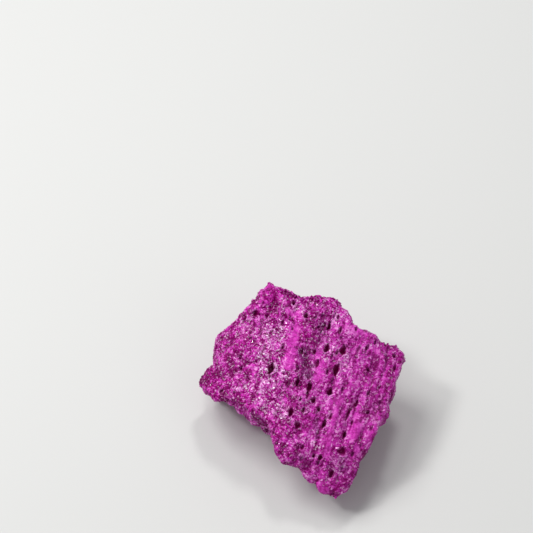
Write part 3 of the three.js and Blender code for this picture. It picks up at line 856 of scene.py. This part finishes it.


# %% [markdown]
# ## Finish
# Raw corundum of this kind is deep magenta where light goes into it and pale pink where crystal
# faces send light back. Here that is partly painted into the colour: painted light on crests, lips
# and single facets, and painted shade in crevices, creases, single facets and at the left corner,
# with gas holes painted dark wine inside. The ribs are a duller mauve, and some hollows are grey
# violet. One picture could hold all that, but here it is a sum of noises and of the numbers kept at
# each point, so it stays sharp from near. Everything reads Object coordinates, in metres, so that
# the skin and the grains agree wherever they meet.
#
# Corundum bends light strongly, with an index of 1.77. On a crushed surface most of that gloss is
# lost between the grains, so it is held low there, and only the fresh crystals have it in full.
# Some light also travels a little way inside, which a short subsurface glow stands for.

# %% Corundum material
CORUNDUM_INDEX = 1.77
GLOSS_LEVEL, GLOSS_TINT = 0.1, (1, 0.2, 0.9, 1)
FRESH_LEVEL, FRESH_TINT, FRESH_SMOOTHER = 0.6, (1, 0.85, 0.98, 1), 0.5
ROUGH_LEAST, ROUGH_SPREAD, ROUGH_IN_HOLES = 0.14, 0.22, 0.25
# The finest sugar of the skin: cells and bumps, in metres.
SKIN_CELL = 0.00035
BUMP_STRENGTH, BUMP_DISTANCE = 0.7, 0.0002
# Light travels this far inside the crystals, in red, green and blue, times a length in metres.
GLOW_WEIGHT = 0.3
GLOW_REACH = (1, 0.2, 0.8)
GLOW_SCALE = 0.0004
DEEP = srgb(104, 0, 72)
BODY = srgb(184, 4, 142)
BRIGHT = srgb(218, 60, 194)
PALE = srgb(252, 190, 242)
# Painted glints on single facets.
GLINT_PAINT = srgb(255, 226, 251)
GLASS = srgb(208, 66, 182)
MAUVE = srgb(146, 50, 130)
GREY = srgb(106, 50, 98)
# Painted shade inside gas holes and creases.
HOLE_SHADE = srgb(124, 0, 74)
# From where to where each step of the finish fades in.
BROAD_PATCHES = (0.36, 0.64)
SUGAR_SPOTS = (0.44, 0.6)
GLASSY_GROUND = (0.3, 0.75)
BRIGHT_CLUSTERS = (1.05, 1.6)
PALE_CLUSTERS = (1.18, 1.32)
DARK_CLUSTERS = (0.99, 0.82)
SHADED_FACETS = (0.3, 0.12)
GLINT_FACETS = (1.02, 1.12)


def noise(wire, scale, detail=3.0, roughness=0.6, distortion=0.0, offset=0.0, drawn_out=0.0):
    """Noise value about 0.5, with cells of 1 / scale metres in Object coordinates.

    drawn_out takes that share of the distance along the fabric away, which makes long streaks.
    """
    place = wire.node("ShaderNodeTexCoord", output=3)
    moved = wire.vector("ADD", place, (offset, offset, offset))
    if drawn_out:
        fabric = tuple(FABRIC.tolist())
        reach = wire.vector("DOT_PRODUCT", moved, fabric) * -drawn_out
        along = wire.node("ShaderNodeVectorMath", {"operation": "SCALE"}, {"Vector": fabric, "Scale": reach})
        moved = wire.vector("ADD", moved, along)
    return wire.node("ShaderNodeTexNoise", {"noise_dimensions": "3D"}, {
        "Vector": moved, "Scale": scale, "Detail": detail, "Roughness": roughness,
        "Distortion": distortion,
    })


def cells(wire, size, output=0):
    """Cellular pattern with cells of a size in metres: 0 gives distance, 1 a random colour."""
    place = wire.node("ShaderNodeTexCoord", output=3)
    return wire.node("ShaderNodeTexVoronoi", {"feature": "F1"}, {"Vector": place, "Scale": 1 / size}, output)


def corundum(name, grains, level=GLOSS_LEVEL, gloss_tint=GLOSS_TINT, smoother=1.0):
    """The stone's finish, for the skin or for the crystals on it.

    level and gloss_tint say how much light the surface sends back and in what colour, and smoother
    scales its roughness.
    """
    material = bpy.data.materials.new(name)
    material.use_nodes = True
    tree = material.node_tree
    shader = tree.nodes["Principled BSDF"]
    wire = Wire(tree)

    def field(name):
        return wire.node("ShaderNodeAttribute", {"attribute_name": name}, output=2)

    hollow, standing, glassy, grey, sugary, deep, lip, ribs = (field(name) for name in fields)
    if grains:
        tint, facet = field("tint"), field("facet")
    else:
        tint, facet = (
            wire.node("ShaderNodeSeparateColor", sockets={0: cells(wire, SKIN_CELL, 1)}, output=channel)
            for channel in (0, 1)
        )

    # Painted light and shade: the body colour is lighter where the surface stands out, darker in the
    # crevices between lumps, and lighter in broad patches.
    broad = noise(wire, 170, 4).step(*BROAD_PATCHES)
    mottle = noise(wire, 620, 3, 0.62, 0.6, 0.01)
    sugar = noise(wire, 260, 3, 0.6, 0.3, 0.02).step(*SUGAR_SPOTS) * 0.4 + sugary * 0.6
    ground = (glassy * (0.4 + mottle)).step(*GLASSY_GROUND)
    crest_light_and_mottle = (standing * (1.7 - ribs * 0.6) + 0.75 + (mottle - 0.5) * (2.4 - ribs)).step(0, 1)
    colour = (broad * 0.3 + crest_light_and_mottle * 0.7).mix(DEEP, BODY)

    # Crystals lie in clusters. One sum says how pale a cluster is: its crystals' own tint, fine and
    # coarse noise, long streaks on the ribs, more in sugary places and less in deep ones, which near the
    # left corner are painted shade.
    streaks = noise(wire, 1300, 3, 0.55, 0.3, 0.05, drawn_out=0.8)
    cluster = tint * 0.45 + noise(wire, 1500, 2, 0.6, 0.5, 0.04) * (0.9 - ribs * 0.5) + mottle * 0.8
    cluster = cluster + ribs * (streaks * 1.2 - 0.35)
    cluster = cluster + sugary * 0.1 - deep * 0.16
    # Painted light on crests also raises the bright clusters.
    colour = ((crest_light_and_mottle * 0.4 + cluster).step(*BRIGHT_CLUSTERS) * 0.8).mix(colour, BRIGHT)

    # Ribs, glassy bands and grey hollows have colours of their own.
    colour = (ribs * 0.4).mix(colour, MAUVE)
    colour = (ground * (0.65 - ribs * 0.25)).mix(colour, GLASS)
    colour = (grey * (0.35 + mottle * 0.6)).mix(colour, GREY)

    # The highest clusters are pale, most of all in sugary places, and the lowest dark. The pale is
    # partly pale crystals and partly painted light, raised on lips and on crests.
    pale = (cluster + lip * 0.15).step(*PALE_CLUSTERS) * (0.3 + sugar * 0.7) * (1 - ground * 0.6)
    pale = pale * (0.5 + crest_light_and_mottle * 0.5)
    colour = (pale * (0.95 - ribs * 0.2)).mix(colour, PALE)
    dark = cluster.step(*DARK_CLUSTERS) * (1 - ground * 0.5)
    colour = (dark * 0.8).mix(colour, DEEP)

    # Painted shade darkens single facets and painted glints light others, less so on ribs and glass.
    # Gas holes get painted shade of wine red inside.
    off_glass = 1 - ground * 0.8
    colour = (facet.step(*SHADED_FACETS) * (0.42 - ribs * 0.1) * off_glass).mix(colour, DEEP)
    painted_glint = (facet + tint * 0.3).step(*GLINT_FACETS) * (0.4 + sugary * 0.6) * (1 - ribs * 0.42) * off_glass
    colour = (painted_glint * 0.9).mix(colour, GLINT_PAINT)
    colour = (hollow * (0.9 - pale * 0.5)).mix(colour, HOLE_SHADE)
    tree.links.new(colour.socket, shader.inputs["Base Color"])

    uneven = ROUGH_SPREAD * smoother * noise(wire, 900, 2, offset=0.03)
    rough = ROUGH_LEAST * smoother + uneven + ROUGH_IN_HOLES * hollow
    tree.links.new(rough.socket, shader.inputs["Roughness"])
    shader.inputs["IOR"].default_value = CORUNDUM_INDEX
    shader.inputs["Specular IOR Level"].default_value = level
    shader.inputs["Specular Tint"].default_value = gloss_tint
    shader.inputs["Subsurface Weight"].default_value = GLOW_WEIGHT
    shader.inputs["Subsurface Radius"].default_value = GLOW_REACH
    shader.inputs["Subsurface Scale"].default_value = GLOW_SCALE
    if not grains:
        bumps = cells(wire, SKIN_CELL) * 0.6 + noise(wire, 3200, 3) * 0.5
        bump = wire.node("ShaderNodeBump", sockets={
            "Strength": BUMP_STRENGTH, "Distance": BUMP_DISTANCE, "Height": bumps,
        })
        tree.links.new(bump.socket, shader.inputs["Normal"])
    return material


skin_piece.data.materials.append(corundum("corundum_mass", False))
grain_finish = corundum("corundum_crystals", True)
fresh_finish = corundum("corundum_fresh_crystals", True, FRESH_LEVEL, FRESH_TINT, FRESH_SMOOTHER)
for piece in grain_pieces:
    piece.data.materials.append(fresh_finish if piece.name == "crystals_fresh" else grain_finish)
print("materials:", [material.name for material in bpy.data.materials])

# %% [markdown]
# ## Floor, light and camera
# A plain pale floor carries the stone. A large soft panel from the upper left and a pale world give
# the even light of the photograph. Soft light alone leaves crystals dull, so two small panels give
# the faces their glints, and a weak one on the right opens the shadows. The camera looks down at
# 54 degrees, as the photograph does.

# %% Floor
FLOOR_HALF = 0.6
FLOOR_COLOUR = (0.58, 0.58, 0.565, 1)
FLOOR_ROUGHNESS = 0.7


def make_floor(half):
    """A square of side 2 * half metres at the height of the stone's base."""
    corners = np.array([(-1, -1, 0), (1, -1, 0), (1, 1, 0), (-1, 1, 0)]) * half / MM + BOX_MIDDLE
    floor = write_mesh("floor", corners, [np.array([(0, 1, 2, 3)])])
    material = bpy.data.materials.new("pale_floor")
    material.use_nodes = True
    shader = material.node_tree.nodes["Principled BSDF"]
    shader.inputs["Base Color"].default_value = FLOOR_COLOUR
    shader.inputs["Roughness"].default_value = FLOOR_ROUGHNESS
    floor.data.materials.append(material)
    return floor


make_floor(FLOOR_HALF)

# %% Lights
# Each panel's place and side in metres, and its power in watts.
PANELS = {
    "soft_key": ((-0.25, 0.2, 0.52), 0.26, 1.75),
    "glint_left": ((-0.32, 0.02, 0.42), 0.09, 1),
    "glint_back": ((0.06, 0.3, 0.44), 0.08, 0.7),
    "fill": ((0.4, -0.3, 0.35), 0.35, 0.3),
}
AIM = Vector((0, 0, 0.01))
WORLD_COLOUR, WORLD_STRENGTH = (0.96, 0.97, 1, 1), 0.42


def make_panel(name, place, size, watts):
    """A square lamp that faces the stone."""
    lamp = bpy.data.lights.new(name, "AREA")
    lamp.shape, lamp.size, lamp.energy = "SQUARE", size, watts
    holder = bpy.data.objects.new(name, lamp)
    holder.location = place
    holder.rotation_euler = (AIM - Vector(place)).to_track_quat("-Z", "Y").to_euler()
    bpy.context.scene.collection.objects.link(holder)


for name, settings in PANELS.items():
    make_panel(name, *settings)
world = bpy.data.worlds.new("studio")
world.use_nodes = True
background = world.node_tree.nodes["Background"]
background.inputs["Color"].default_value = WORLD_COLOUR
background.inputs["Strength"].default_value = WORLD_STRENGTH
bpy.context.scene.world = world
bpy.context.scene.view_settings.view_transform = "Standard"

# %% Camera
FRAME_PX = 533
FOCAL_PX = 1877
SENSOR_MM = 36
ELEVATION = math.radians(54)
DISTANCE = 400
STONE_PX = (301, 388)
REFERENCE_HEIGHT = 9.5


def make_camera():
    """A camera whose optical axis meets the middle of the photograph's frame."""
    forward = np.array([0, math.cos(ELEVATION), -math.sin(ELEVATION)])
    up = np.array([0, math.sin(ELEVATION), math.cos(ELEVATION)])
    right = np.array([1, 0, 0])
    across, down = [(pixel - FRAME_PX / 2) / FOCAL_PX for pixel in STONE_PX]
    ray = forward + across * right - down * up
    place = np.array([0, 0, REFERENCE_HEIGHT]) - DISTANCE * ray - BOX_MIDDLE
    data = bpy.data.cameras.new("camera")
    data.sensor_width = SENSOR_MM
    data.lens = FOCAL_PX * SENSOR_MM / FRAME_PX
    data.clip_start, data.clip_end = 0.01, 10
    camera = bpy.data.objects.new("camera", data)
    camera.location = place * MM
    camera.rotation_euler = (math.pi / 2 - ELEVATION, 0, 0)
    bpy.context.scene.collection.objects.link(camera)
    bpy.context.scene.camera = camera
    return camera


camera = make_camera()
print("camera at mm:", [round(v / MM, 1) for v in camera.location])

# %% Update the view layer
bpy.context.view_layer.update()
